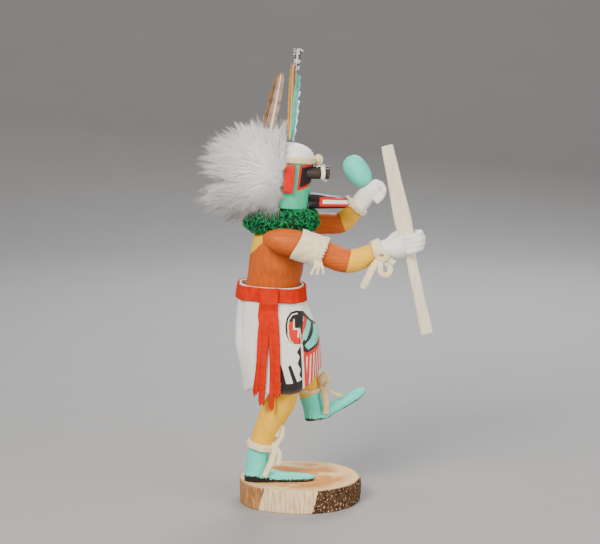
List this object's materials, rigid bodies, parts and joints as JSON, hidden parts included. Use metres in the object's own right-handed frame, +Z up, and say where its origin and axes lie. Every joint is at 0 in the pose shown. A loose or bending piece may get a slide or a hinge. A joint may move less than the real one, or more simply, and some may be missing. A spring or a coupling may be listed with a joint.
{
  "type": "kachina doll",
  "caption": "Carved dancing kachina doll on a log slice, with snouted mask, fur, feathers, ruff, leather kilt, sash, staff and rattle.",
  "frame": {"origin": "centre of the base's underside, on the surface it stands on", "axes": "+X the way the figure faces, +Y the figure's left, +Z up"},
  "size_m": [0.1473, 0.0815, 0.2974],
  "materials": {
    "base_wood": "matt",
    "body_wood": "satin",
    "mask_paint": "satin",
    "black_paint": "satin",
    "red_paint": "satin",
    "white_leather": "matt",
    "cream_leather": "matt",
    "yarn": "matt",
    "fur": "matt",
    "brown_feather": "satin",
    "yellow_feather": "satin",
    "turquoise_feather": "satin",
    "black_feather": "satin",
    "red_felt": "matt",
    "staff_wood": "matt",
    "rattle_paint": "satin"
  },
  "bodies": {
    "root": {"base": "base_wood", "figure_body": "body_wood", "right_arm": "body_wood", "left_arm": "body_wood", "head": "mask_paint", "snout": "black_paint", "right_eye": "black_paint", "left_eye": "black_paint", "right_eye_ring": "white_leather", "left_eye_ring": "white_leather", "right_ear": "red_paint", "left_ear": "red_paint", "headband": "cream_leather", "ruff": "yarn", "fur": "fur", "brown_feather_1": "brown_feather", "brown_feather_2": "brown_feather", "yellow_feather": "yellow_feather", "turquoise_feather": "turquoise_feather", "black_feather": "black_feather", "kilt": "white_leather", "belt": "red_felt", "sash": "red_felt", "right_armband": "cream_leather", "left_armband": "cream_leather", "right_wrist_tie": "cream_leather", "left_wrist_tie": "cream_leather", "right_ankle_tie": "cream_leather", "left_ankle_tie": "cream_leather", "staff": "staff_wood", "rattle": "rattle_paint"}
  },
  "joints": []
}
